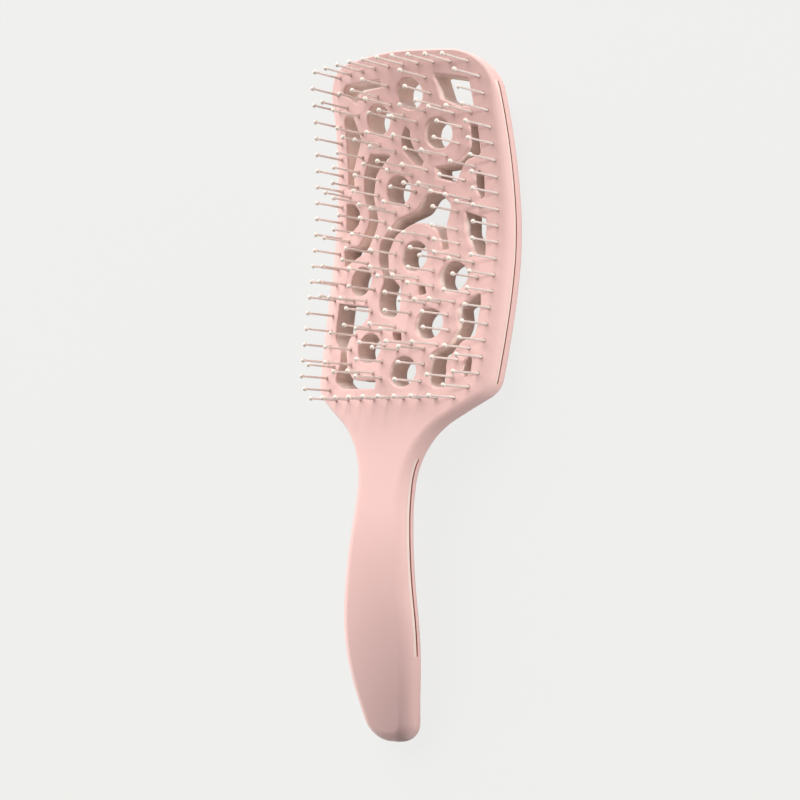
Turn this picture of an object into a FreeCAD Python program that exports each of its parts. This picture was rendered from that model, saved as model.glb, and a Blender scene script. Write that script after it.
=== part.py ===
import FreeCAD, Part
import math
import os
from FreeCAD import Placement, Rotation, Vector

# Vent brush. A one-piece body, a saddle-shaped head with air vents that runs into an arched
# handle, carries 168 nylon pins with ball tips. Each pin's root stands in a blind socket of the
# head, and the pins of one row share a node, because they are alike.
# The brush is drawn with its pins along +Z, the head towards +Y and the middle of the pin field
# at the origin, and is then laid on its back on the plane z = 0. Lengths are in millimetres.

os.makedirs("parts", exist_ok=True)
doc = FreeCAD.newDocument("vent_brush")

SIZES = (
    # outline seen from the front, whose corners are then rounded
    ("head_width", 82.8),            # across the bulge of the sides
    ("head_top", 66.2),              # from the middle of the pin field to the top
    ("head_bottom", 55.7),           # and to the lower corners
    ("top_drop", 2.4),               # from the middle of the top edge to its corners
    ("top_taper", 5.5),              # the top corners lie this far inside the bulge
    ("bottom_taper", 2.6),           # and the lower corners this far
    ("bulge_drop", 18.0),            # the bulge lies this far below the field's middle
    ("top_corner_radius", 15.0),
    ("bottom_corner_radius", 9.0),
    ("neck_width", 22.4),
    ("neck_radius", 28.0),           # where the head's lower edge runs into the neck
    ("neck_end_radius", 75.0),       # and the neck into the handle
    ("neck_drop", 18.2),             # from the head's lower corners to the neck's upper ones
    ("neck_length", 21.1),
    ("handle_width", 31.9),
    ("handle_side_radius", 100.0),
    ("swell_drop", 50.0),            # from the neck to the widest place of the handle
    ("tail_drop", 33.8),             # and from there to the tail
    ("tail_width", 18.4),
    ("tail_radius", 9.2),
    ("head_top_radius", 150.0),
    ("head_side_radius", 400.0),
    # side view
    ("sweep_radius", 150.0),         # the head is hollow lengthwise
    ("sweep_rise", 12.0),            # its lowest place lies this far above the field's middle
    ("sweep_depth", 5.5),            # and this far behind the origin, at mid-thickness
    ("arch_radius", 150.0),          # the handle is arched
    ("arch_drop", 122.0),            # its highest place lies this far below the field's middle
    ("arch_height", 19.3),           # and this far in front of the head's lowest place
    ("crown_radius", 104.0),         # from side to side the brush is crowned
    ("head_thickness", 10.0),
    ("handle_thickness", 9.8),
    ("front_edge_radius", 2.6),
    ("back_edge_radius", 4.6),
    ("handle_edge_radius", 4.2),
    # vents
    ("vent_diameter", 10.8),
    # pins
    ("pin_length", 15.3),            # from the face to the tip
    ("root_diameter", 1.2),
    ("shaft_diameter", 0.75),        # just below the ball
    ("ball_diameter", 1.7),
    ("ball_length", 1.5),            # from the shaft's end to the tip
    ("ball_crown", 0.75),            # from the ball's widest place to the tip
    ("socket_depth", 3.0),
    ("socket_clearance", 0.05),
    ("side_pitch", 5.8),             # of the pins along the head's sides
    ("top_pitch", 6.3),
    ("bottom_pitch", 6.5),
    ("side_inset", 6.3),             # of the outer pins from the head's widest place
)

sheet = doc.addObject("Spreadsheet::Sheet", "sizes")
for line, (name, value) in enumerate(SIZES, 1):
    sheet.set(f"A{line}", name)
    sheet.set(f"B{line}", str(value))
    sheet.setAlias(f"B{line}", name)
doc.recompute()


def size(name):
    return float(sheet.get(name))


def feature(name, shape):
    made = doc.addObject("Part::Feature", name)
    made.Shape = shape
    return made


# Outlines: a corner is (x, y, radius), and the sides between the corners are straight.

def rounded_loop(corners):
    count = len(corners)
    points = [Vector(x, y, 0) for x, y, _ in corners]
    starts = []
    middles = []
    ends = []
    for i, (_, _, radius) in enumerate(corners):
        here = points[i]
        back = (points[i - 1] - here).normalize()
        ahead = (points[(i + 1) % count] - here).normalize()
        half_angle = back.getAngle(ahead) / 2
        reach = radius / math.tan(half_angle)
        inward = (back + ahead).normalize()
        starts.append(here + back * reach)
        middles.append(here + inward * (radius / math.sin(half_angle) - radius))
        ends.append(here + ahead * reach)
    edges = []
    for i in range(count):
        if corners[i][2] > 0:
            edges.append(Part.Arc(starts[i], middles[i], ends[i]).toShape())
        edges.append(Part.makeLine(ends[i], starts[(i + 1) % count]))
    return Part.Wire(edges)


half_head = size("head_width") / 2
bottom_y = -size("head_bottom")
neck_top = bottom_y - size("neck_drop")
neck_end = neck_top - size("neck_length")
swell_y = neck_end - size("swell_drop")
tail_y = swell_y - size("tail_drop")
RIGHT_SIDE = [
    (half_head - size("top_taper"), size("head_top") - size("top_drop"), size("top_corner_radius")),
    (half_head, -size("bulge_drop"), size("head_side_radius")),
    (half_head - size("bottom_taper"), bottom_y, size("bottom_corner_radius")),
    (size("neck_width") / 2, neck_top, size("neck_radius")),
    (size("neck_width") / 2, neck_end, size("neck_end_radius")),
    (size("handle_width") / 2, swell_y, size("handle_side_radius")),
    (size("tail_width") / 2, tail_y, size("tail_radius")),
]
LEFT_SIDE = [(-x, y, radius) for x, y, radius in reversed(RIGHT_SIDE)]
TOP = (0, size("head_top"), size("head_top_radius"))
outline = feature("outline", rounded_loop([TOP] + RIGHT_SIDE + LEFT_SIDE))
outline_face = Part.Face(outline.Shape)
top_y = outline.Shape.BoundBox.YMax


def half_width(y):
    across = Part.makeLine(Vector(0, y, 0), Vector(half_head * 2, y, 0))
    return outline_face.common(across).BoundBox.XMax


# Side view, at mid-thickness: an arc, a straight slope and an arc, each touching the next.

head_centre = Vector(0, size("sweep_rise"), size("sweep_radius") - size("sweep_depth"))
arch_top = size("arch_height") - size("sweep_depth")
handle_centre = Vector(0, -size("arch_drop"), arch_top - size("arch_radius"))
centre_line = handle_centre - head_centre
swing = math.degrees(math.acos((size("sweep_radius") + size("arch_radius")) / centre_line.Length))
towards_slope = Rotation(Vector(1, 0, 0), swing).multVec(centre_line).normalize()
slope_top = head_centre + towards_slope * size("sweep_radius")
slope_end = handle_centre - towards_slope * size("arch_radius")


def middle_height(y):
    if y > slope_top.y:
        return head_centre.z - math.sqrt(size("sweep_radius") ** 2 - (y - head_centre.y) ** 2)
    if y < slope_end.y:
        return handle_centre.z + math.sqrt(size("arch_radius") ** 2 - (y - handle_centre.y) ** 2)
    return slope_top.z + (slope_end.z - slope_top.z) * (y - slope_top.y) / (slope_end.y - slope_top.y)


def crown_fall(x):
    return size("crown_radius") - math.sqrt(size("crown_radius") ** 2 - x ** 2)


# A value of the head, changing over the neck to that of the handle.

def blended(y, head_value, handle_value):
    share = min(max((bottom_y - y) / (bottom_y - neck_end), 0), 1)
    return head_value + share * (handle_value - head_value)


def half_thickness(y):
    return blended(y, size("head_thickness"), size("handle_thickness")) / 2


def face_height(x, y):
    return middle_height(y) + half_thickness(y) - crown_fall(x)


# The section at one place: a crowned face and back with a rounded edge on each side. Curves across
# the brush are drawn as short flats, so that a face with many sockets stays light. The edges'
# rounding runs over both ends of the brush too.

CROWN_FLATS = 3                      # from the middle to the rounded edge
EDGE_FLATS = 3
STEP = 0.05                          # along the brush, to measure how much its side leans
WIDEST_EDGE = 0.9                    # an edge's rounding takes at most this much of the half width


def half_profile(y, side, edge_radius):
    half = half_width(y)
    ahead = min(y + STEP, top_y - STEP)
    behind = max(y - STEP, tail_y + STEP)
    lean = (half_width(ahead) - half_width(behind)) / (2 * STEP)
    reach = min(edge_radius * math.hypot(1, lean), WIDEST_EDGE * half)
    end_gap = min(top_y - y, y - tail_y, edge_radius)
    end_fall = edge_radius - math.sqrt(edge_radius ** 2 - (edge_radius - end_gap) ** 2)
    level = half_thickness(y) - end_fall
    drop = min(edge_radius - end_fall, level)
    points = [((half - reach) * i / CROWN_FLATS, level) for i in range(CROWN_FLATS)]
    for i in range(EDGE_FLATS + 1):
        angle = math.pi / 2 * i / EDGE_FLATS
        points.append((half - reach * (1 - math.sin(angle)), level - drop * (1 - math.cos(angle))))
    return [Vector(x, y, middle_height(y) + side * height - crown_fall(x)) for x, height in points]


def section(y):
    edge_radius = size("handle_edge_radius")
    front = half_profile(y, 1, blended(y, size("front_edge_radius"), edge_radius))
    back = half_profile(y, -1, blended(y, size("back_edge_radius"), edge_radius))
    right = front + back[::-1]
    left = [Vector(-point.x, point.y, point.z) for point in right[-2:0:-1]]
    return Part.makePolygon(right + left + right[:1])


def spaced(start, end, count):
    return [start + (end - start) * i / count for i in range(count)]


# Places of the sections: close together where the outline turns, far apart elsewhere.

TAIL_GAPS = (0.1, 0.7, 2.2, 5.2, 9.7, 16)     # from the tail's end
TOP_GAPS = (14.4, 9, 5, 2.2, 0.8, 0.1)        # from the head's top
corner_end = bottom_y + size("bottom_corner_radius") / 2
STATIONS = [tail_y + gap for gap in TAIL_GAPS]
STATIONS += spaced(tail_y + TAIL_GAPS[-1], neck_end, 4)[1:]
STATIONS += spaced(neck_end, corner_end, 7)
STATIONS += spaced(corner_end, top_y - TOP_GAPS[0], 5)
STATIONS += [top_y - gap for gap in TOP_GAPS]

blank = doc.addObject("Part::Loft", "blank")
blank.Sections = [feature(f"section_{i:02d}", section(y)) for i, y in enumerate(STATIONS, 1)]
blank.Solid = True
blank.Ruled = True
doc.recompute()

# Vents go right through along the pins' direction. They and the inner pins are drawn for a head
# of this size and follow the head when it changes.

LAYOUT_HALF_WIDTH = 41.4
LAYOUT_TOP = 66.2
LAYOUT_BOTTOM = 55.7


def on_head(x, y):
    tall = size("head_top") / LAYOUT_TOP if y > 0 else size("head_bottom") / LAYOUT_BOTTOM
    return x * half_head / LAYOUT_HALF_WIDTH, y * tall


ROUND_VENTS = (
    (4, 51), (-11.5, 43.5), (14, 36.5), (-4.2, 17.5), (4, -6.8),
    (20.5, -15), (-20.5, -14.6), (13.2, -31.6), (-12, -39.6), (4.8, -48.5),
)

SHAPED_VENTS = {
    "boomerang": (
        (-8, 57.1, 0), (-25.6, 57.4, 2), (-28.2, 55, 1), (-22, 50.3, 1), (-17.8, 54.3, 4),
        (-8.2, 54.6, 0)),
    "shield": (
        (15, 57, 1), (27.8, 54.4, 0.6), (28.2, 45, 0.6), (23, 45.3, 1.5), (16.6, 48.4, 1.5)),
    "blade": (
        (-29.5, 46.8, 2), (-25, 46.8, 1.2), (-21.5, 37.6, 1), (-27.1, 27.5, 5), (-27.2, 20.4, 1),
        (-30.4, 20.4, 1)),
    "stream": (
        (-7, 30.5, 0), (-15, 24.5, 7), (-16.5, 16, 7), (-13.6, 6.5, 7), (-19, -3.5, 8),
        (-31, -8.2, 0), (-32.4, -1.6, 1.5), (-23, -1.2, 4), (-17.6, 8, 7), (-21.5, 17.5, 7),
        (-20.8, 25, 7), (-17, 32, 1.5)),
    "dash": (
        (0.8, 39.8, 0), (2.2, 38.5, 0), (2, 34, 8), (7.2, 27, 0), (6.3, 25.5, 0), (4, 26, 0),
        (-1.2, 31.5, 3), (-1.6, 36, 3)),
    "crescent": (
        (26.2, 38.6, 0), (28.9, 38.4, 0), (29.3, 28, 1.5), (24, 26.8, 4), (19.8, 18.8, 0),
        (12.3, 21, 0), (12.2, 24.6, 0), (19.5, 25, 8), (26, 30, 8)),
    "chip": (
        (28.6, 22.4, 0), (30.2, 20.5, 0), (30.3, 13.5, 0), (29.3, 12.2, 0), (27, 17, 2),
        (27, 21, 0)),
    "swirl": (
        (18.2, 11, 3), (13.5, 15.5, 3), (8, 15, 4), (4, 9.5, 5), (-4.5, 7, 6), (-12.2, -1, 5),
        (-12, -8, 5), (-8.4, -14.5, 6), (-10, -21.5, 5), (-8.5, -27.3, 3), (-2.5, -29.2, 3),
        (0.2, -26.5, 2), (-0.5, -18, 4), (-7, -12.5, 5), (-8.2, -5, 5), (-5, 1.5, 4),
        (4.5, 6.2, 9), (13, 2.5, 6), (15.8, -5.2, 0), (17.8, -4.8, 0), (16.2, 3, 6)),
    "pennant": ((23.6, 8.2, 0), (31, 5.4, 0), (31.4, -8.4, 0), (27.8, -7, 2), (23.8, 1, 5)),
    "claw": (
        (31.3, -21.4, 0), (23.4, -26, 1.5), (24.8, -32, 8), (22.3, -39, 6), (15.6, -42.3, 1.5),
        (15.6, -52.5, 1.5), (19, -54.5, 2), (22.3, -53.6, 0), (21.6, -45, 5), (26.5, -38, 6),
        (31, -35.8, 1.5), (31.6, -25, 4)),
    "upper_notch": ((7, -17.6, 0), (9.6, -17.8, 0), (10.6, -20.6, 0), (8, -21.2, 0)),
    "lower_notch": ((-1.5, -34.3, 0), (1.9, -34.4, 0), (2.6, -37.2, 0), (-0.6, -37, 0)),
    "bay": (
        (-31.7, -22, 0), (-15, -24.2, 0), (-14.5, -28.2, 1.5), (-23, -35.3, 3), (-24.2, -39, 4),
        (-22.6, -46, 4), (-18.5, -50.8, 4), (-7, -51, 0), (-7, -54.2, 0), (-24, -53.8, 4),
        (-28.2, -51, 2), (-26.4, -44.5, 5), (-27, -40, 4), (-31.6, -35, 2)),
    "sliver": (
        (29.8, -43.2, 0), (30.8, -44.5, 0), (30.8, -48.7, 0), (29.1, -51.2, 0), (27.5, -48.7, 0),
        (28.3, -45.5, 0)),
    "half_moon": (
        (-31.7, 15, 0), (-27.5, 15, 3), (-24, 11.5, 3), (-24, 7.5, 3), (-28, 4.6, 3),
        (-31.7, 5, 0)),
}

DEPTH = 60                           # more than any height of the brush from the origin


def round_vent(i, x, y):
    vent = doc.addObject("Part::Cylinder", f"round_vent_{i:02d}")
    vent.setExpression("Radius", "sizes.vent_diameter / 2")
    vent.Height = 2 * DEPTH
    vent.Placement = Placement(Vector(*on_head(x, y), -DEPTH), Rotation())
    return vent


def shaped_vent(name, corners):
    vent = doc.addObject("Part::Extrusion", name)
    vent.Base = feature(f"{name}_outline", rounded_loop([(*on_head(x, y), r) for x, y, r in corners]))
    vent.DirMode = "Custom"
    vent.Dir = Vector(0, 0, 1)
    vent.LengthFwd = DEPTH
    vent.LengthRev = DEPTH
    vent.Solid = True
    return vent


vents = doc.addObject("Part::Compound", "vents")
vents.Links = [round_vent(i, x, y) for i, (x, y) in enumerate(ROUND_VENTS, 1)]
vents.Links += [shaped_vent(name, corners) for name, corners in SHAPED_VENTS.items()]

vented = doc.addObject("Part::Cut", "vented")
vented.Base = blank
vented.Tool = vents

# Pins: a row along each end, a column down each side, and between them pins on the lands that
# the vents leave.

INNER_PINS = (
    (11.5, 56), (-5, 54.5), (-10.5, 51.5), (-17, 51), (12.5, 50.5), (-27, 49.5), (-5, 48),
    (-21.5, 46), (16, 45.5), (9.5, 44.5), (0.5, 43.5), (20.5, 43), (27, 43), (-4, 43), (5.5, 41),
    (-20.5, 39.5), (23, 38), (-6, 36.5), (-18, 36), (5.5, 34.5), (-12, 34.5), (21.5, 32.5),
    (-21.5, 31), (-5, 31.5), (10, 29.5), (16.5, 28.5), (-24, 26), (-8.5, 25.5), (-2, 26), (27, 24),
    (8.5, 24), (2, 22.5), (-13, 22), (-25, 20.5), (23, 19.5), (-29.5, 17.5), (9, 17.5), (15, 17),
    (3.5, 16.5), (-14, 16.5), (-24.5, 15), (19.5, 14), (25, 12.5), (-11, 11.5), (0.5, 11.5),
    (29, 10), (-5.5, 9.5), (-21.5, 8.5), (20.5, 8.5), (-10.5, 6.5), (-24, 3.5), (20.5, 2),
    (3.5, 1.5), (-14, 1), (-29.5, 1), (9.5, 0), (-2, -1), (21.5, -3), (-16.5, -4), (12.5, -5.5),
    (-4.5, -5.5), (22, -7.5), (-18, -8), (16.5, -8.5), (-29, -9.5), (27.5, -10), (-14, -11.5),
    (-4, -11.5), (12.5, -12.5), (-29.5, -15), (0, -15), (6.5, -15), (29.5, -15.5), (-13, -18),
    (13, -18), (-28, -20.5), (27, -21), (4, -21), (-16.5, -22), (-23, -21.5), (22, -24),
    (16.5, -24), (10.5, -24), (-13, -26), (5, -27.5), (20, -28.5), (-13, -32), (-1, -32),
    (-7, -33.5), (-19.5, -34.5), (4, -34), (21, -34), (-4.5, -38.5), (7, -38.5), (17.5, -39),
    (-21.5, -39.5), (1.5, -40.5), (29.5, -40.5), (12.5, -40.5), (-5, -44.5), (-20.5, -45),
    (25.5, -44.5), (-30, -45.5), (13, -46), (-8.5, -48.5), (-15.5, -48.5), (24.5, -50.5),
    (-4.5, -50.5), (12.5, -52),
)

SIDE_ROWS_FROM = 54.9                # the columns' first row, on the layout's head
SIDE_ROWS_TO = -49.5                 # and their last regular one
SIDE_BOW_MIDDLE = -8.0               # the columns are bowed, and furthest apart here
SIDE_BOW_RADIUS = 550.0
CORNER_PIN = (30.6, -54.2)
TOP_ROW = 61.1                       # at its middle
TOP_BOW_RADIUS = 440.0
TOP_PINS = 10
BOTTOM_ROW = -57.8
BOTTOM_PINS = 9

PIN_SIDES = 4


def ring(radius, height):
    turns = [2 * math.pi * i / PIN_SIDES for i in range(PIN_SIDES)]
    return [Vector(radius * math.cos(turn), radius * math.sin(turn), height) for turn in turns]


def closed(points):
    return Part.Face(Part.makePolygon(points + points[:1]))


def pin_shape():
    tip = Vector(0, 0, size("pin_length"))
    rings = [
        ring(size("root_diameter") / 2, -size("socket_depth")),
        ring(size("shaft_diameter") / 2, tip.z - size("ball_length")),
        ring(size("ball_diameter") / 2, tip.z - size("ball_crown")),
    ]
    faces = [closed(rings[0])]
    for lower, upper in zip(rings, rings[1:]):
        for i in range(PIN_SIDES):
            faces.append(closed([lower[i - 1], lower[i], upper[i], upper[i - 1]]))
    for i in range(PIN_SIDES):
        faces.append(closed([rings[-1][i - 1], rings[-1][i], tip]))
    return Part.Solid(Part.Shell(faces))


def socket_shape():
    wall = size("socket_clearance") / math.cos(math.pi / PIN_SIDES)
    floor = closed(ring(size("root_diameter") / 2 + wall, -size("socket_depth")))
    return floor.extrude(Vector(0, 0, 3 * size("socket_depth")))


def side_rows():
    first = on_head(0, SIDE_ROWS_FROM)[1]
    last = on_head(0, SIDE_ROWS_TO)[1]
    count = int((first - last) / size("side_pitch")) + 1
    return [first - i * size("side_pitch") for i in range(count)]


def evenly(count, pitch):
    return [(i - (count - 1) / 2) * pitch for i in range(count)]


def bow_fall(distance, radius):
    return radius - math.sqrt(radius ** 2 - distance ** 2)


outer_pins = []
for y in side_rows():
    bow = bow_fall(y - SIDE_BOW_MIDDLE, SIDE_BOW_RADIUS)
    outer_pins.append((half_head - size("side_inset") - bow, y))
outer_pins.append(on_head(*CORNER_PIN))
row_heights = [y for _, y in outer_pins]
rows = [[(-x, y), (x, y)] for x, y in outer_pins]
for x, y in INNER_PINS:
    x, y = on_head(x, y)
    nearest = min(range(len(rows)), key=lambda i: abs(row_heights[i] - y))
    rows[nearest].append((x, y))

top_row = []
for x in evenly(TOP_PINS, size("top_pitch")):
    top_row.append((x, on_head(0, TOP_ROW)[1] - bow_fall(x, TOP_BOW_RADIUS)))
bottom_row = [(x, on_head(0, BOTTOM_ROW)[1]) for x in evenly(BOTTOM_PINS, size("bottom_pitch"))]
rows = [top_row] + rows + [bottom_row]


def standing_on_face(shape, places):
    copies = []
    for x, y in places:
        copy = shape.copy()
        copy.translate(Vector(x, y, face_height(x, y)))
        copies.append(copy)
    return Part.makeCompound(copies)


all_places = [place for row in rows for place in row]
sockets = feature("sockets", standing_on_face(socket_shape(), all_places))
body = doc.addObject("Part::Cut", "brush_body")
body.Base = vented
body.Tool = sockets
pin_rows = [
    feature(f"pin_row_{i:02d}", standing_on_face(pin_shape(), row)) for i, row in enumerate(rows, 1)
]
doc.recompute()

# The brush lies on its back, on both edges of the head and on the tail: the slope of the line
# under its lowest points gives the turn that lays it down.

corners = [vertex.Point for vertex in blank.Shape.Vertexes]
head_corners = [p for p in corners if p.y > neck_top]
handle_corners = [p for p in corners if p.y < neck_top]
slope = 0.0
for _ in range(6):
    head_low = min(head_corners, key=lambda p: p.z - slope * p.y)
    tail_low = min(handle_corners, key=lambda p: p.z - slope * p.y)
    slope = (head_low.z - tail_low.z) / (head_low.y - tail_low.y)
turn = Rotation(Vector(1, 0, 0), -math.degrees(math.atan(slope)))
laid = [turn.multVec(p) for p in corners]
middle_y = (min(p.y for p in laid) + max(p.y for p in laid)) / 2
rest = Placement(Vector(0, -middle_y, -min(p.z for p in laid)), turn)

for node in [body] + pin_rows:
    node.Label = node.Name
    node.Placement = rest
doc.recompute()

for obj in doc.Objects:
    if "Invalid" in obj.State or "Error" in obj.State:
        raise RuntimeError(f"{obj.Name} failed")
for node in [body] + pin_rows:
    if node.Shape.isNull() or not node.Shape.isValid():
        raise RuntimeError(f"{node.Label} has no valid shape")
    node.Shape.exportStep(f"parts/{node.Label}.step")
lean = -math.degrees(math.atan(slope))
print(f"{len(all_places)} pins in {len(rows)} rows, laid down by {lean:.2f} degrees")
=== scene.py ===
# %% [markdown]
# # A vent brush
#
# A vent brush is a paddle hairbrush with openings in its head, so that a dryer's air reaches the
# hair. This one is a soft pink moulding with a saddle-shaped head, an arched handle and nylon
# pins with ball tips. Its CAD model is made of short flats and four-sided pins. Here it gets its
# smooth skin, rounded rims, parting line, turned pins, finishes and studio.

# %% Load the CAD model
import cmath
import math

import bpy
import numpy as np
from mathutils import Matrix, Vector
from mathutils.geometry import delaunay_2d_cdt


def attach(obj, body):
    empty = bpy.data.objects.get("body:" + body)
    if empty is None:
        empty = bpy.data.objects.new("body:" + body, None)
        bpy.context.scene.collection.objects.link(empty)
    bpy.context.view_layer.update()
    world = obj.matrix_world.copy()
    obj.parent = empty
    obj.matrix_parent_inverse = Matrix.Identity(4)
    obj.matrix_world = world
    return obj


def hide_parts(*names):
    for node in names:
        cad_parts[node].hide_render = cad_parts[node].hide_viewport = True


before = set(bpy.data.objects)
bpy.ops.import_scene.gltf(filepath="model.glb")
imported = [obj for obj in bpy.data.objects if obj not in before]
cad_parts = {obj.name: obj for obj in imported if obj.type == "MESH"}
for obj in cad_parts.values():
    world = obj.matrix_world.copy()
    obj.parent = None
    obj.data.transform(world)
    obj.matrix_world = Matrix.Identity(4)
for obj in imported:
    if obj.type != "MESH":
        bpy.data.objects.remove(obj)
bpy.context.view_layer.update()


# %% [markdown]
# ## Two frames
#
# The brush is easiest to describe with its pins upright and the middle of the pin field at the
# origin, in millimetres. On the table it lies on its back, leaning by a few degrees, and Blender
# works in metres. Each formula could carry that turn and scale itself, but one matrix that takes
# the first frame to the second keeps them out of all the shapes below.

# %% From the drawing to the table
MM = 0.001
LEAN = math.radians(5.0066)
REST_SHIFT = Vector((0, 56.575, 16.298)) * MM

table_from_drawing = (
    Matrix.Translation(REST_SHIFT) @ Matrix.Rotation(LEAN, 4, "X") @ Matrix.Scale(MM, 4))
drawing_from_table = table_from_drawing.inverted()


def on_table(x, y, z):
    """A place of the drawing, in metres on the table."""
    return table_from_drawing @ Vector((x, y, z))


print("the middle of the pin field lies", round(on_table(0, 0, 0).z / MM, 1), "mm up")

# %% [markdown]
# ## Camera
#
# The photograph looks down on the pins from the brush's right, with the handle towards the
# bottom of the frame. A long lens keeps the far edge of the head nearly as large as the near
# one. The camera could be aimed at a target, but the photograph is also rolled a little, so its
# right and up directions are given instead.

# %% Camera
CAMERA_PLACE = (448.2, -91.1, 595.4)
IMAGE_RIGHT = Vector((0.7979, 0.0103, -0.6027))
IMAGE_UP = Vector((0.0185, 0.9990, 0.0416))
TOWARDS_CAMERA = IMAGE_RIGHT.cross(IMAGE_UP)

camera = bpy.data.objects.new("camera", bpy.data.cameras.new("camera"))
camera.data.lens = 94.06
camera.data.sensor_width = 36
camera.data.clip_start = 0.05
camera.data.clip_end = 20
axes = Matrix((IMAGE_RIGHT, IMAGE_UP, TOWARDS_CAMERA)).transposed().to_4x4()
camera.matrix_world = (
    Matrix.Translation(on_table(*CAMERA_PLACE)) @ Matrix.Rotation(LEAN, 4, "X") @ axes)
bpy.context.scene.collection.objects.link(camera)
bpy.context.scene.camera = camera
bpy.context.scene.view_settings.view_transform = "Standard"
print("camera at", [round(value, 4) for value in camera.matrix_world.translation])

# %% [markdown]
# ## Outlines
#
# Seen along the pins, the brush and its vents are polygons with rounded corners. They could be
# Bezier curves, but the CAD model is a list of corners with their radii, so here too a corner is
# written as (x, y, radius). Points of the plane are complex numbers here, because a turn is then
# one multiplication.

# %% Rounded outlines
LARGEST_TURN = 0.3


def rounded_loop(corners, step):
    """Points at most `step` apart round an outline, anticlockwise, as an array of x and y."""
    points = [complex(x, y) for x, y, _ in corners]
    loop = []
    for i, (_, _, radius) in enumerate(corners):
        here = points[i]
        back = points[i - 1] - here
        ahead = points[(i + 1) % len(points)] - here
        turn = cmath.phase(-ahead / back)
        bisector = back / abs(back) + ahead / abs(ahead)
        centre = here + bisector / abs(bisector) * radius / math.cos(turn / 2)
        arm = here + back / abs(back) * radius * math.tan(abs(turn) / 2) - centre
        count = max(math.ceil(abs(turn) / LARGEST_TURN), math.ceil(radius * abs(turn) / step))
        loop += [centre + arm * cmath.exp(1j * turn * j / count) for j in range(count + 1)]
    filled = []
    for here, ahead in zip(loop, loop[1:] + loop[:1]):
        count = max(1, math.ceil(abs(ahead - here) / step))
        filled += [here + (ahead - here) * j / count for j in range(count)]
    filled = np.array([[point.real, point.imag] for point in filled])
    return filled if signed_area(filled) > 0 else filled[::-1]


def signed_area(loop):
    """Positive for a loop that runs anticlockwise."""
    ahead = np.roll(loop, -1, axis=0)
    return 0.5 * np.sum(loop[:, 0] * ahead[:, 1] - ahead[:, 0] * loop[:, 1])


def sideways(loop):
    """For each point of an anticlockwise loop, the step that moves both its sides out by one."""
    ahead = np.roll(loop, -1, axis=0) - loop
    ahead /= np.linalg.norm(ahead, axis=1, keepdims=True)
    out = np.stack([ahead[:, 1], -ahead[:, 0]], axis=1)
    both = out + np.roll(out, 1, axis=0)
    both /= np.linalg.norm(both, axis=1, keepdims=True)
    return both / np.sum(both * out, axis=1, keepdims=True)


# %% The brush's outline
RIGHT_SIDE = [
    (35.9, 63.8, 15),
    (41.4, -18, 400),
    (38.8, -55.7, 9),
    (11.2, -73.9, 28),
    (11.2, -95, 75),
    (15.95, -145, 100),
    (9.2, -178.8, 9.2),
]
LEFT_SIDE = [(-x, y, radius) for x, y, radius in reversed(RIGHT_SIDE)]
outline = rounded_loop([(0, 66.2, 150)] + RIGHT_SIDE + LEFT_SIDE, step=1.0)
print(len(outline), "points round the brush")

# %% [markdown]
# ## Form
#
# From the side, the head is an arc that is hollow towards the pins, so that it follows the scalp.
# Then comes a straight slope, and the handle is an arc the other way, which fills the palm. From
# side to side, both are crowned. A subdivided cage could be pulled to that shape, but a formula
# gives the exact height and normal everywhere. It is written for the surface at mid-thickness,
# and the face and the back lie half a thickness from it.

# %% Side view and crown
ARC_RADIUS = 150
HEAD_CENTRE = (12, 144.5)
HANDLE_CENTRE = (-122, -136.2)
CROWN_RADIUS = 104
FURTHEST_ALONG = 100

reach = math.hypot(HANDLE_CENTRE[0] - HEAD_CENTRE[0], HANDLE_CENTRE[1] - HEAD_CENTRE[1])
line = math.atan2(HANDLE_CENTRE[1] - HEAD_CENTRE[1], HANDLE_CENTRE[0] - HEAD_CENTRE[0])
bearing = line + math.acos(2 * ARC_RADIUS / reach)
slope_top = HEAD_CENTRE[0] + ARC_RADIUS * math.cos(bearing)
slope_end = HANDLE_CENTRE[0] - ARC_RADIUS * math.cos(bearing)
top_height = HEAD_CENTRE[1] + ARC_RADIUS * math.sin(bearing)
end_height = HANDLE_CENTRE[1] - ARC_RADIUS * math.sin(bearing)
print("the straight slope runs from y =", round(slope_top, 2), "to", round(slope_end, 2))


def arc_reach(along):
    """How far the arc lies from the level of its centre."""
    return np.sqrt(ARC_RADIUS ** 2 - np.clip(along, -FURTHEST_ALONG, FURTHEST_ALONG) ** 2)


def middle_height(y):
    head = HEAD_CENTRE[1] - arc_reach(y - HEAD_CENTRE[0])
    handle = HANDLE_CENTRE[1] + arc_reach(y - HANDLE_CENTRE[0])
    straight = top_height + (end_height - top_height) * (y - slope_top) / (slope_end - slope_top)
    return np.where(y > slope_top, head, np.where(y < slope_end, handle, straight))


def middle_surface(x, y):
    return middle_height(y) - CROWN_RADIUS + np.sqrt(CROWN_RADIUS ** 2 - x ** 2)


def upright(x, y):
    """Unit normals of the surface at mid-thickness."""
    step = 0.01
    slope_x = (middle_surface(x + step, y) - middle_surface(x - step, y)) / (2 * step)
    slope_y = (middle_surface(x, y + step) - middle_surface(x, y - step)) / (2 * step)
    normals = np.stack([-slope_x, -slope_y, np.ones_like(slope_x)], axis=-1)
    return normals / np.linalg.norm(normals, axis=-1, keepdims=True)


# %% [markdown]
# The plastic is about 10 mm thick, and its edges are rounded for the hand. The head's sizes differ
# from the handle's, so each is a pair that blends down the neck. A bevel modifier has one width,
# and so couldn't follow them.

# %% Thickness and edge rounding
NECK_TOP = -55.7
NECK_END = -95
HALF_THICKNESS = (5.0, 4.9)
FRONT_ROUNDING = (2.6, 4.2)
BACK_ROUNDING = (4.6, 4.2)
CRISPER_FROM = 44
CRISPER_OVER = 14
CRISPER_BY = 1.8


def along_neck(y, ends):
    """A size that goes from the head's to the handle's down the neck."""
    share = np.clip((NECK_TOP - y) / (NECK_TOP - NECK_END), 0, 1)
    return ends[0] + share * (ends[1] - ends[0])


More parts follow.
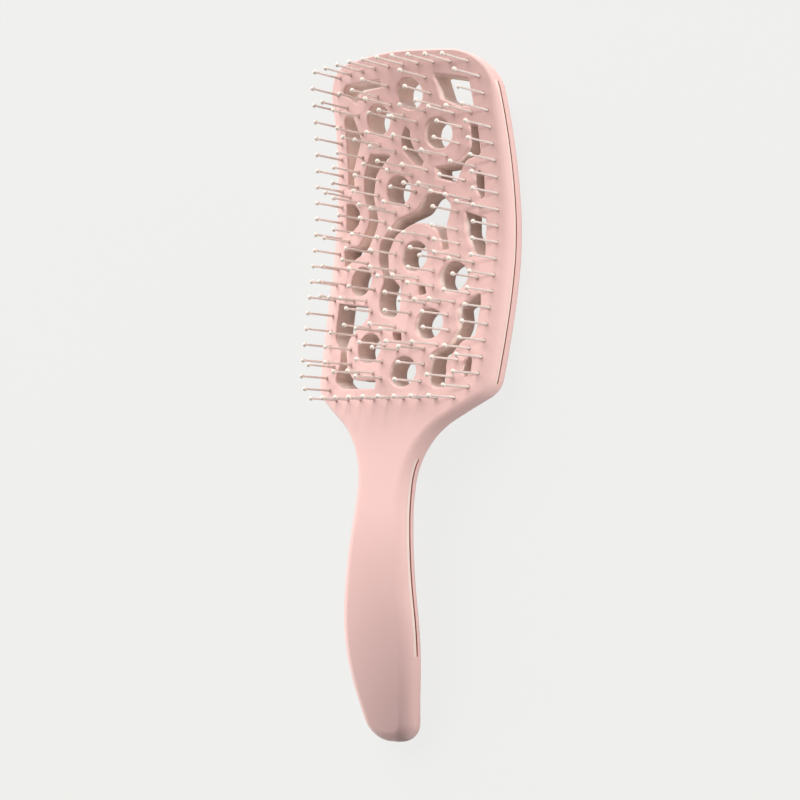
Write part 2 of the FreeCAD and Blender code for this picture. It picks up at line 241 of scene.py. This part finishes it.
def half_thickness(y):
    return along_neck(y, HALF_THICKNESS)


def front_rounding(y):
    """Soft along the sides, crisper along the top of the head."""
    towards_top = np.clip((y - CRISPER_FROM) / CRISPER_OVER, 0, 1)
    return along_neck(y, FRONT_ROUNDING) - CRISPER_BY * towards_top


def back_rounding(y):
    return along_neck(y, BACK_ROUNDING)


# %% [markdown]
# ## Vents
#
# The vents let the dryer's air through. Ten are round, and the others are free shapes that flow
# round them and leave lands for the pins. They could be drawn as curves by eye, but then they
# would drift from the CAD model's, so each is a list of rounded corners as the outline is. They
# are cut along the pins' direction, with a soft rim in front and a crisp one behind.

# %% Vent outlines
ROUND_VENTS = (
    (4, 51), (-11.5, 43.5), (14, 36.5), (-4.2, 17.5), (4, -6.8),
    (20.5, -15), (-20.5, -14.6), (13.2, -31.6), (-12, -39.6), (4.8, -48.5),
)
VENT_RADIUS = 5.4

SHAPED_VENTS = {
    "boomerang": (
        (-8, 57.1, 0), (-25.6, 57.4, 2), (-28.2, 55, 1), (-22, 50.3, 1), (-17.8, 54.3, 4),
        (-8.2, 54.6, 0)),
    "shield": (
        (15, 57, 1), (27.8, 54.4, 0.6), (28.2, 45, 0.6), (23, 45.3, 1.5), (16.6, 48.4, 1.5)),
    "blade": (
        (-29.5, 46.8, 2), (-25, 46.8, 1.2), (-21.5, 37.6, 1), (-27.1, 27.5, 5), (-27.2, 20.4, 1),
        (-30.4, 20.4, 1)),
    "stream": (
        (-7, 30.5, 0), (-15, 24.5, 7), (-16.5, 16, 7), (-13.6, 6.5, 7), (-19, -3.5, 8),
        (-31, -8.2, 0), (-32.4, -1.6, 1.5), (-23, -1.2, 4), (-17.6, 8, 7), (-21.5, 17.5, 7),
        (-20.8, 25, 7), (-17, 32, 1.5)),
    "dash": (
        (0.8, 39.8, 0), (2.2, 38.5, 0), (2, 34, 8), (7.2, 27, 0), (6.3, 25.5, 0), (4, 26, 0),
        (-1.2, 31.5, 3), (-1.6, 36, 3)),
    "crescent": (
        (26.2, 38.6, 0), (28.9, 38.4, 0), (29.3, 28, 1.5), (24, 26.8, 4), (19.8, 18.8, 0),
        (12.3, 21, 0), (12.2, 24.6, 0), (19.5, 25, 8), (26, 30, 8)),
    "chip": (
        (28.6, 22.4, 0), (30.2, 20.5, 0), (30.3, 13.5, 0), (29.3, 12.2, 0), (27, 17, 2),
        (27, 21, 0)),
    "swirl": (
        (18.2, 11, 3), (13.5, 15.5, 3), (8, 15, 4), (4, 9.5, 5), (-4.5, 7, 6), (-12.2, -1, 5),
        (-12, -8, 5), (-8.4, -14.5, 6), (-10, -21.5, 5), (-8.5, -27.3, 3), (-2.5, -29.2, 3),
        (0.2, -26.5, 2), (-0.5, -18, 4), (-7, -12.5, 5), (-8.2, -5, 5), (-5, 1.5, 4),
        (4.5, 6.2, 9), (13, 2.5, 6), (15.8, -5.2, 0), (17.8, -4.8, 0), (16.2, 3, 6)),
    "pennant": ((23.6, 8.2, 0), (31, 5.4, 0), (31.4, -8.4, 0), (27.8, -7, 2), (23.8, 1, 5)),
    "claw": (
        (31.3, -21.4, 0), (23.4, -26, 1.5), (24.8, -32, 8), (22.3, -39, 6), (15.6, -42.3, 1.5),
        (15.6, -52.5, 1.5), (19, -54.5, 2), (22.3, -53.6, 0), (21.6, -45, 5), (26.5, -38, 6),
        (31, -35.8, 1.5), (31.6, -25, 4)),
    "upper_notch": ((7, -17.6, 0), (9.6, -17.8, 0), (10.6, -20.6, 0), (8, -21.2, 0)),
    "lower_notch": ((-1.5, -34.3, 0), (1.9, -34.4, 0), (2.6, -37.2, 0), (-0.6, -37, 0)),
    "bay": (
        (-31.7, -22, 0), (-15, -24.2, 0), (-14.5, -28.2, 1.5), (-23, -35.3, 3), (-24.2, -39, 4),
        (-22.6, -46, 4), (-18.5, -50.8, 4), (-7, -51, 0), (-7, -54.2, 0), (-24, -53.8, 4),
        (-28.2, -51, 2), (-26.4, -44.5, 5), (-27, -40, 4), (-31.6, -35, 2)),
    "sliver": (
        (29.8, -43.2, 0), (30.8, -44.5, 0), (30.8, -48.7, 0), (29.1, -51.2, 0), (27.5, -48.7, 0),
        (28.3, -45.5, 0)),
    "half_moon": (
        (-31.7, 15, 0), (-27.5, 15, 3), (-24, 11.5, 3), (-24, 7.5, 3), (-28, 4.6, 3),
        (-31.7, 5, 0)),
}
SHARPEST_CORNER = 0.4
ROUND_VENT_SIDES = 48


def circle(x, y, radius, count):
    turns = np.arange(count) * 2 * math.pi / count
    return np.stack([x + radius * np.cos(turns), y + radius * np.sin(turns)], axis=1)


vent_loops = [circle(x, y, VENT_RADIUS, ROUND_VENT_SIDES) for x, y in ROUND_VENTS]
for corners in SHAPED_VENTS.values():
    rounded = [(x, y, max(radius, SHARPEST_CORNER)) for x, y, radius in corners]
    vent_loops.append(rounded_loop(rounded, step=0.8))
print(len(vent_loops), "vents with", sum(len(loop) for loop in vent_loops), "points")

# %% [markdown]
# ## Where the pins stand
#
# The CAD model already says where each pin stands: the tip of its solid lies on its axis. The
# list of places could be written out again, but read from there, the turned pins can't drift from
# the solids that they replace.

# %% Read the pins' places
PIN_LENGTH = 15.3
TIP_SPREAD = 1.5
pin_nodes = sorted(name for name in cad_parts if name.startswith("pin_row"))


def face_height(x, y):
    return middle_surface(x, y) + half_thickness(y)


def pin_places(name):
    """Goes down through a row's points: each that is far from the places so far is a new tip."""
    points = [drawing_from_table @ vertex.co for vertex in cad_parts[name].data.vertices]
    places = []
    for x, y, z in sorted(points, key=lambda point: -point.z):
        is_high = z > face_height(x, y) + PIN_LENGTH / 2
        if is_high and all(math.dist((x, y), place) > TIP_SPREAD for place in places):
            places.append((x, y))
    return places


pins = {name: pin_places(name) for name in pin_nodes}
print(sum(len(places) for places in pins.values()), "pins in", len(pins), "rows")

# %% [markdown]
# ## One skin
#
# A Boolean cut through a subdivided form would leave long slivers round every vent, which shade
# badly. The skin is built in rings instead: each outline becomes a stack of rings from the face
# over the rounded rim, down the wall and round to the back. A Delaunay triangulation then fills
# the face and the back between the rings. The true normal is known at every point, so it is
# stored with it.

# %% Rings of the skin
skin_points = []
skin_normals = []
skin_faces = []
skin_finishes = []
# Finishes: the coat, a painted highlight on the parting lip, painted shade in the line's gap, and
# painted light on the vent walls.
COAT, PAINTED_HIGHLIGHT, GAP, WALL = 0, 1, 2, 3
NO_LENGTH = 1e-9


def add_points(xy, height, tilt, away):
    """Points above the middle surface. A tilt of 0 faces the front, 90 away from the plastic."""
    x, y = xy[:, 0], xy[:, 1]
    start = len(skin_points)
    skin_points.extend(np.stack([x, y, middle_surface(x, y) + height], axis=1))
    flat_away = np.concatenate([away, np.zeros((len(xy), 1))], axis=1)
    flat_away /= np.maximum(np.linalg.norm(flat_away, axis=1, keepdims=True), NO_LENGTH)
    tilt = np.reshape(np.radians(tilt), (-1, 1))
    skin_normals.extend(np.cos(tilt) * upright(x, y) + np.sin(tilt) * flat_away)
    return list(range(start, len(skin_points)))


def stitch(ring, next_ring, finish):
    """Faces between two rings, of one finish or of one for each point."""
    finishes = np.broadcast_to(finish, len(ring))
    for i in range(len(ring)):
        skin_faces.append((ring[i - 1], ring[i], next_ring[i], next_ring[i - 1]))
        skin_finishes.append(int(finishes[i]))


def rim_rings(loop, into, profile):
    """Stitches a stack of rings and gives the first and the last.

    A row of the profile is (depth into the plastic, height, tilt, finish)."""
    rings = []
    for depth, height, tilt, finish in profile:
        moved = loop + into * np.reshape(depth, (-1, 1))
        rings.append(add_points(moved, height, tilt, -into))
        if len(rings) > 1:
            stitch(rings[-2], rings[-1], finish)
    return rings[0], rings[-1]


def rounding(radius, centre_height, first_tilt, last_tilt, count, finish=COAT):
    """Profile rows round a convex edge. A row's finish is that of the band before it."""
    rows = []
    for tilt in np.linspace(first_tilt, last_tilt, count + 1):
        lean = math.radians(tilt)
        depth = radius * (1 - math.sin(lean))
        rows.append((depth, centre_height + radius * math.cos(lean), tilt, finish))
    return rows


# %% [markdown]
# The outer edge carries the parting line, where the two halves of the mould met. It is a fine
# groove with small lips. The front lip and the last band of the edge above it are painted paler,
# as a painted highlight, and the gap is painted dark, as painted shade. The line runs down the
# head's sides and along the handle, and is polished away at the corners, the shoulders and the
# tail. A bump could only draw it, so it is modelled: its rows join the edge's profile, and shrink
# to nothing where the line fades.

# %% The outer edge
GROOVE_HALF = 0.4
LIP_RADIUS = 0.15
GROOVE_HEIGHT = (1.8, 0.0)
LINE_PLACES = (-148.5, -143.5, -82.5, -78.5, -54, -49, 49.5, 55.5)
LINE_DEPTHS = (0, 1, 1, 0, 0, 1, 1, 0)
LEAST_CUT = 0.2

edge_y = outline[:, 1]
groove_cut = np.interp(edge_y, LINE_PLACES, LINE_DEPTHS)


def where_cut(finish):
    return np.where(groove_cut > LEAST_CUT, finish, COAT)


def groove_profile(height):
    """A lip, the hollow of the groove, and the lip behind it."""
    # The front lip is painted paler, as a highlight.
    rows = rounding(LIP_RADIUS, height + GROOVE_HALF + LIP_RADIUS, 90, 180, count=3, finish=PAINTED_HIGHLIGHT)
    # The hollow of the groove is painted dark: painted shade.
    for tilt in (135, 90, 45, 0):
        lean = math.radians(tilt)
        depth = LIP_RADIUS + GROOVE_HALF * math.sin(lean)
        rows.append((depth, height - GROOVE_HALF * math.cos(lean), tilt, GAP))
    rows += rounding(LIP_RADIUS, height - GROOVE_HALF - LIP_RADIUS, 0, 90, count=3)[1:]
    return [
        (depth * groove_cut, row_height, 90 + (tilt - 90) * groove_cut, where_cut(finish))
        for depth, row_height, tilt, finish in rows]


# %% Stack the outer edge
half = half_thickness(edge_y)
front = front_rounding(edge_y)
back = back_rounding(edge_y)
profile = rounding(front, half - front, 0, 90, count=7)
# The last band of the front rounding gets the paler finish: a painted highlight.
profile[-1] = (*profile[-1][:3], where_cut(PAINTED_HIGHLIGHT))
profile += groove_profile(along_neck(edge_y, GROOVE_HEIGHT))
profile += rounding(back, back - half, 90, 180, count=8)
front_edge, back_edge = rim_rings(outline, -sideways(outline), profile)
print(len(profile), "rings round the outer edge")

# %% [markdown]
# A vent's wall has a little draft, so that the moulding left its tool. The walls are painted paler
# and greyer than the coat: painted light, which lifts the shade in the vents and tempers the pink
# light bounced about in them. The front rim is rounded, so that no hair snags on it. A bevel would
# be as wide all round, but some pins stand close to a rim, and it gives way to them.

# %% Vent rims and walls
RIM_RADIUS = 0.7
BACK_RIM_RADIUS = 0.3
DRAFT = 0.35
SOCKET_RADIUS = 0.7
SOCKET_RIM = 0.2
LEAST_LAND = 0.1
LEAST_RIM = 0.15
pin_list = np.array([place for places in pins.values() for place in places])


def rim_radius(loop):
    """The rim is rounded by less where a pin stands close to it."""
    gaps = np.min(np.linalg.norm(loop[:, None] - pin_list[None], axis=2), axis=1)
    return np.clip(gaps - SOCKET_RADIUS - SOCKET_RIM - LEAST_LAND, LEAST_RIM, RIM_RADIUS)


front_holes = []
back_holes = []
for loop in vent_loops:
    half = half_thickness(loop[:, 1])
    radius = rim_radius(loop)
    profile = rounding(radius, half - radius, 0, 90, count=4)
    back_rim = rounding(BACK_RIM_RADIUS, BACK_RIM_RADIUS - half, 90, 180, count=2)
    # The walls get the paler finish: painted light in the vents.
    profile += [(depth - DRAFT, height, tilt, WALL) for depth, height, tilt, _ in back_rim]
    front_ring, back_ring = rim_rings(loop, sideways(loop), profile)
    front_holes.append(front_ring)
    back_holes.append(back_ring)
print(len(skin_faces), "faces with the vents")

# %% [markdown]
# Each pin stands in a socket with a small countersink, which shows as a dark point at its foot.
# The pins could simply pass through the face, but they would look stuck on. The sockets are
# shallow here, because their floors can't be seen.

# %% Sockets
SOCKET_DEPTH = 0.9
SOCKET_SIDES = 10
for x, y in pin_list:
    loop = circle(x, y, SOCKET_RADIUS, SOCKET_SIDES)
    half = half_thickness(loop[:, 1])
    profile = rounding(SOCKET_RIM, half - SOCKET_RIM, 0, 90, count=2)
    profile.append((0, half - SOCKET_DEPTH, 90, COAT))
    front_ring, floor_ring = rim_rings(loop, sideways(loop), profile)
    front_holes.append(front_ring)
    skin_faces.append(tuple(floor_ring))
    skin_finishes.append(COAT)
print(len(pin_list), "sockets, and", len(skin_faces), "faces so far")

# %% [markdown]
# The face and the back are what lies between the rings. Triangles across wide gaps would be too
# flat for the curve, so a staggered grid of points is laid between the rings first, clear of
# them.

# %% A grid in the plastic
GRID = 2.4
GRID_ACROSS = (-40, 40)
GRID_ALONG = (-180, 70)
CLEARANCE = 0.45


def inside(points, loop):
    """Whether points lie in a loop, by counting the sides that a line from each crosses."""
    x, y = points[:, 0], points[:, 1]
    count = np.zeros(len(points), int)
    for (x1, y1), (x2, y2) in zip(loop, np.roll(loop, -1, axis=0)):
        if y1 != y2:
            crosses = (y1 > y) != (y2 > y)
            count += crosses & (x < (x2 - x1) * (y - y1) / (y2 - y1) + x1)
    return count % 2 == 1


def in_plastic(points, edge, holes):
    kept = inside(points, edge)
    for hole in holes:
        kept &= ~inside(points, hole)
    return kept


def grid_between(loops, rims):
    """Grid points inside the first loop, outside the others and clear of all the rims' points."""
    across = np.arange(*GRID_ACROSS, GRID)
    along = np.arange(*GRID_ALONG, GRID)
    grid = np.array([(x + (j % 2) * GRID / 2, y) for j, y in enumerate(along) for x in across])
    grid = grid[in_plastic(grid, loops[0], loops[1:])]
    gaps = np.array([np.min(np.sum((rims - point) ** 2, axis=1)) for point in grid])
    return grid[gaps > (CLEARANCE * GRID) ** 2]


# %% Fill the face and the back
EVERYTHING = 0
SAME_POINT = 1e-6


def fill(edge_ring, hole_rings, side):
    """Triangles between the rings, on the front for a side of 1 and on the back for -1."""
    rings = [edge_ring] + hole_rings
    loops = [np.array([skin_points[i][:2] for i in ring]) for ring in rings]
    rims = np.concatenate(loops)
    grid = grid_between(loops, rims)
    numbers = [i for ring in rings for i in ring]
    numbers += add_points(
        grid, side * half_thickness(grid[:, 1]), 90 - 90 * side, np.zeros_like(grid))
    edges = []
    start = 0
    for ring in rings:
        edges += [(start + i, start + (i + 1) % len(ring)) for i in range(len(ring))]
        start += len(ring)
    flat = [Vector(point) for point in np.concatenate([rims, grid])]
    made, _, triangles, origins, _, _ = delaunay_2d_cdt(flat, edges, [], EVERYTHING, SAME_POINT)
    corners = np.array([made[i] for triangle in triangles for i in triangle]).reshape(-1, 3, 2)
    kept = in_plastic(corners.mean(axis=1), loops[0], loops[1:])
    for triangle, keep in zip(triangles, kept):
        if keep:
            skin_faces.append(tuple(numbers[origins[i][0]] for i in triangle))
            skin_finishes.append(COAT)
    print(int(kept.sum()), "triangles between", len(rings), "rings")


fill(front_edge, front_holes, 1)
fill(back_edge, back_holes, -1)

# %% [markdown]
# Every face is turned so that it looks the way its corners' normals do, and then the normals
# are handed to the mesh.

# %% The body's mesh
def mesh_object(name, points, faces, normals, materials):
    """An object on the table from points and normals of the drawing."""
    points = np.array(points)
    normals = np.array(normals)
    turned = []
    for face in faces:
        a, b, c = points[face[0]], points[face[1]], points[face[2]]
        looks = np.dot(np.cross(b - a, c - b), normals[list(face)].sum(axis=0))
        turned.append(face if looks > 0 else face[::-1])
    mesh = bpy.data.meshes.new(name)
    mesh.from_pydata([table_from_drawing @ Vector(point) for point in points], [], turned)
    turn = np.array(Matrix.Rotation(LEAN, 3, "X"))
    mesh.shade_smooth()
    mesh.normals_split_custom_set_from_vertices(normals @ turn.T)
    for material in materials:
        mesh.materials.append(material)
    made = bpy.data.objects.new(name, mesh)
    bpy.context.scene.collection.objects.link(made)
    return made


# %% [markdown]
# ## Finishes
#
# One function turns sRGB hex values to the linear numbers that shaders use, and another adds a
# node with its settings and links.

# %% Colour and nodes
def colour(code):
    values = [int(code[i:i + 2], 16) / 255 for i in (1, 3, 5)]
    return [v / 12.92 if v <= 0.04045 else ((v + 0.055) / 1.055) ** 2.4 for v in values] + [1]


def new_material(name):
    material = bpy.data.materials.new(name)
    material.use_nodes = True
    material.node_tree.nodes.clear()
    return material


def add_node(tree, kind, settings=None, **inputs):
    """Adds a node. An input is a value, or a (node, output) pair to link from.

    An input is named as its socket, or by the socket's number after an underscore."""
    node = tree.nodes.new(kind)
    for name, value in (settings or {}).items():
        setattr(node, name, value)
    for name, value in inputs.items():
        socket = node.inputs[int(name[1:]) if name[0] == "_" else name.replace("_", " ")]
        if isinstance(value, tuple):
            tree.links.new(value[0].outputs[value[1]], socket)
        else:
            socket.default_value = value
    return node


def per_metre(size_mm):
    """Texture scale at which one cell measures about that many millimetres."""
    return 1 / (size_mm * MM)


# %% [markdown]
# The body is moulded ABS with a sprayed soft-touch coat: a matt, slightly rubbery lacquer. It
# spreads highlights widely and has a faint bloom at grazing angles, which is the sheen here. A
# plain rough plastic would look harder. The spray leaves a fine grain, drawn at 0.35 mm, its
# roughness changes over about 9 mm, and its tone drifts a little over some 40 mm. The same
# shader carries painted colours too: paler along the parting lip as a painted highlight, paler
# and greyer on the vent walls as painted light, and dark in the gap of the line as painted shade.

# %% Soft-touch coat
GRAIN_SIZE = 0.35
RUBBED_SIZE = 9
DRIFT_SIZE = 38


def soft_touch_coat(name, light, deep):
    material = new_material(name)
    tree = material.node_tree
    place = add_node(tree, "ShaderNodeTexCoord")
    drift = add_node(
        tree, "ShaderNodeTexNoise", Vector=(place, "Object"), Scale=per_metre(DRIFT_SIZE),
        Detail=2.0)
    tone = add_node(
        tree, "ShaderNodeMix", {"data_type": "RGBA"}, Factor=(drift, "Fac"), _6=colour(deep),
        _7=colour(light))
    grain = add_node(
        tree, "ShaderNodeTexNoise", Vector=(place, "Object"), Scale=per_metre(GRAIN_SIZE),
        Detail=3.0)
    bump = add_node(
        tree, "ShaderNodeBump", Height=(grain, "Fac"), Strength=0.12, Distance=0.00004)
    rubbed = add_node(
        tree, "ShaderNodeTexNoise", Vector=(place, "Object"), Scale=per_metre(RUBBED_SIZE),
        Detail=2.0)
    rough = add_node(
        tree, "ShaderNodeMapRange", Value=(rubbed, "Fac"), To_Min=0.5, To_Max=0.58)
    shader = add_node(
        tree, "ShaderNodeBsdfPrincipled", Base_Color=(tone, "Result"),
        Roughness=(rough, "Result"), Normal=(bump, "Normal"), IOR=1.46,
        Specular_IOR_Level=0.4, Sheen_Weight=0.5, Sheen_Roughness=0.5,
        Sheen_Tint=colour("#FFF4F2"))
    add_node(tree, "ShaderNodeOutputMaterial", Surface=(shader, "BSDF"))
    return material


coat = soft_touch_coat("soft-touch coated ABS", "#F4CCC5", "#F1C7C0")
# Paler colours painted on the parting lip as a highlight.
lip = soft_touch_coat("painted highlight on the parting lip", "#F9E8DE", "#F6E0D4")
# A dark colour painted in the gap as shade.
gap = soft_touch_coat("shaded parting gap", "#A8523C", "#8A3E2C")
# Paler, greyer colours painted on the vent walls as light.
wall = soft_touch_coat("vent walls painted paler for light", "#FBE8DF", "#F4DED3")
print("coats:", [material.name for material in (coat, lip, gap, wall)])

# %% [markdown]
# The pins are natural nylon, moulded and left uncoloured: cream, slightly cloudy, with a satin
# gloss. The shafts get a second, greyer copy of the nylon, which is painted shade: it darkens
# the thin shafts against the balls.

# %% Nylon
CLOUD_SIZE = 3


def moulded_nylon(name, light, deep):
    material = new_material(name)
    tree = material.node_tree
    place = add_node(tree, "ShaderNodeTexCoord")
    cloud = add_node(
        tree, "ShaderNodeTexNoise", Vector=(place, "Object"), Scale=per_metre(CLOUD_SIZE),
        Detail=2.0)
    tone = add_node(
        tree, "ShaderNodeMix", {"data_type": "RGBA"}, Factor=(cloud, "Fac"), _6=colour(deep),
        _7=colour(light))
    bump = add_node(
        tree, "ShaderNodeBump", Height=(cloud, "Fac"), Strength=0.1, Distance=0.00003)
    shader = add_node(
        tree, "ShaderNodeBsdfPrincipled", Base_Color=(tone, "Result"), Roughness=0.34, IOR=1.53,
        Normal=(bump, "Normal"))
    add_node(tree, "ShaderNodeOutputMaterial", Surface=(shader, "BSDF"))
    return material


ball_nylon = moulded_nylon("natural nylon", "#F8EEE3", "#F2E6DA")
# A greyer copy of the nylon for the shafts: painted shade.
shaded_shaft_nylon = moulded_nylon("nylon painted greyer as shade on shafts", "#E7DAD3", "#E0D2CA")
print("nylons:", [material.name for material in (ball_nylon, shaded_shaft_nylon)])

# %% [markdown]
# The body is one piece on the real brush and one mesh here. It takes the place of the CAD solid.
# Each face already knows its finish, so no second mesh is needed for the line or the vents.

# %% Put the body together
body = mesh_object("coated_body", skin_points, skin_faces, skin_normals, [coat, lip, gap, wall])
for face, finish in zip(body.data.polygons, skin_finishes):
    face.material_index = finish
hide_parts("brush_body")
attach(body, "root")
print(len(body.data.polygons), "faces on the body")

# %% [markdown]
# ## Pins
#
# A pin is a turned form: one outline swept round its axis. The root is wider than the shaft, so
# that the pin bends above it, and the ball keeps its tip from scratching. One pin could be
# instanced 168 times, but the pins of a row are one mesh, because they take the place of the one
# node that the CAD model has for them.

# %% A pin's outline
BALL_RADIUS = 0.85


def pin_outline():
    """Radius, height and tilt of the normal, from the root up to the tip."""
    rows = [(0.6, -1.2, 90), (0.6, 0.0, 88), (0.5, 0.9, 84), (0.43, 2.6, 88), (0.36, 13.4, 90)]
    centre = PIN_LENGTH - BALL_RADIUS
    for tilt in (145, 120, 95, 70, 45, 22):
        lean = math.radians(tilt)
        rows.append((BALL_RADIUS * math.sin(lean), centre + BALL_RADIUS * math.cos(lean), tilt))
    return rows


print(len(pin_outline()), "rings on a pin")

# %% Turn the pins
PIN_SIDES = 12
SHAFT_BANDS = 4


def turned_pins(name, places):
    """A row of pins as one mesh, with its shafts in one nylon and its balls in the other."""
    rows = pin_outline()
    points, normals, faces = [], [], []
    for x, y in places:
        foot = float(face_height(x, y))
        for radius, height, tilt in rows:
            lean = math.radians(tilt)
            for turn in np.arange(PIN_SIDES) * 2 * math.pi / PIN_SIDES:
                side = np.array([math.cos(turn), math.sin(turn)])
                points.append((x + radius * side[0], y + radius * side[1], foot + height))
                normals.append((*(math.sin(lean) * side), math.cos(lean)))
        first = len(points) - len(rows) * PIN_SIDES
        for j in range(len(rows) - 1):
            for i in range(PIN_SIDES):
                low = first + j * PIN_SIDES
                near, far = low + i, low + (i + 1) % PIN_SIDES
                faces.append((near, far, far + PIN_SIDES, near + PIN_SIDES))
        points.append((x, y, foot + PIN_LENGTH))
        normals.append((0, 0, 1))
        tip = len(points) - 1
        last = tip - PIN_SIDES
        faces += [(last + i, last + (i + 1) % PIN_SIDES, tip) for i in range(PIN_SIDES)]
    made = mesh_object(name, points, faces, normals, [shaded_shaft_nylon, ball_nylon])
    # The shaft bands take the greyer nylon: painted shade.
    for face in made.data.polygons:
        band = face.index // PIN_SIDES % len(rows)
        face.material_index = int(band >= SHAFT_BANDS)
    return made


for node_name, places in pins.items():
    row = turned_pins(node_name.replace("pin_row", "ball_pins"), places)
    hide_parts(node_name)
    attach(row, "root")
    print(row.name, "has", len(places), "pins")

# %% [markdown]
# ## Studio
#
# The floor is a sheet of paper. The paper itself is darker than it looks, so that it bounces
# little light up into the vents. To the camera it mostly shows an even pale tone of its own, and
# the shadow under the brush stays light, as on a lit table. More light on the paper would also
# fall on the brush, so the pale tone is in the material. The world fills the shadows weakly.

# %% Floor
FLOOR_TONE = colour("#EFEFED")
OWN_TONE_SHARE = 0.9
FLOOR_REACH = 4
FLOOR_DROP = 0.0002


def studio_floor():
    material = new_material("pale paper")
    tree = material.node_tree
    ray = add_node(tree, "ShaderNodeLightPath")
    paper = add_node(tree, "ShaderNodeBsdfDiffuse", Color=colour("#C4C2C0"))
    even = add_node(tree, "ShaderNodeEmission", Color=FLOOR_TONE, Strength=1.045)
    share = add_node(
        tree, "ShaderNodeMath", {"operation": "MULTIPLY"}, _0=(ray, "Is Camera Ray"),
        _1=OWN_TONE_SHARE)
    mixed = add_node(
        tree, "ShaderNodeMixShader", Fac=(share, "Value"), _1=(paper, "BSDF"),
        _2=(even, "Emission"))
    add_node(tree, "ShaderNodeOutputMaterial", Surface=(mixed, "Shader"))
    return material


floor_mesh = bpy.data.meshes.new("floor")
quarters = ((-1, -1), (1, -1), (1, 1), (-1, 1))
floor_corners = [(x * FLOOR_REACH, y * FLOOR_REACH, 0) for x, y in quarters]
floor_mesh.from_pydata(floor_corners, [], [(0, 1, 2, 3)])
floor_mesh.materials.append(studio_floor())
floor = bpy.data.objects.new("floor", floor_mesh)
floor.location.z = -FLOOR_DROP
bpy.context.scene.collection.objects.link(floor)
print("the floor is", 2 * FLOOR_REACH, "m wide")

# %% World
WORLD_FILL = 0.2
world = bpy.data.worlds.new("studio")
bpy.context.scene.world = world
world.use_nodes = True
world.node_tree.nodes.clear()
ray = add_node(world.node_tree, "ShaderNodeLightPath")
seen = add_node(world.node_tree, "ShaderNodeBackground", Color=FLOOR_TONE, Strength=1.0)
fill_light = add_node(
    world.node_tree, "ShaderNodeBackground", Color=colour("#F7F8FF"), Strength=WORLD_FILL)
both = add_node(
    world.node_tree, "ShaderNodeMixShader", Fac=(ray, "Is Camera Ray"),
    _1=(fill_light, "Background"), _2=(seen, "Background"))
add_node(world.node_tree, "ShaderNodeOutputWorld", Surface=(both, "Shader"))
print("the world fills the shadows with a strength of", WORLD_FILL)

# %% [markdown]
# There are three lamps. The main one is a large soft box past the top of the head and to the
# left, so the hollow of the head and the tail are darker than the neck. A small one low on the
# left lifts the far edge. Another, low on the right, brightens the near edge and leaves the
# shoulder dark. One large lamp overhead would light all of them alike and flatten the form.

# %% Lamps
def soft_box(name, direction, distance, size, power, tint):
    """A square lamp that looks at the brush's middle from a direction of the table's frame."""
    lamp = bpy.data.objects.new(name, bpy.data.lights.new(name, "AREA"))
    lamp.data.size = size
    lamp.data.energy = power
    lamp.data.color = colour(tint)[:3]
    away = Vector(direction).normalized()
    lamp.location = away * distance
    lamp.rotation_euler = away.to_track_quat("Z", "Y").to_euler()
    bpy.context.scene.collection.objects.link(lamp)
    print(name, "at", [round(value, 3) for value in lamp.location], "with", power, "W")


soft_box("main soft box", (-0.5, 0.9, 0.75), distance=2.5, size=3.0, power=114, tint="#FFFBF9")
soft_box("left soft box", (-1.0, -0.3, 0.13), distance=1.2, size=0.3, power=4.0, tint="#FFF8F6")
soft_box("edge soft box", (1.0, 0.3, 0.05), distance=0.9, size=0.2, power=7.0, tint="#FFFEFD")
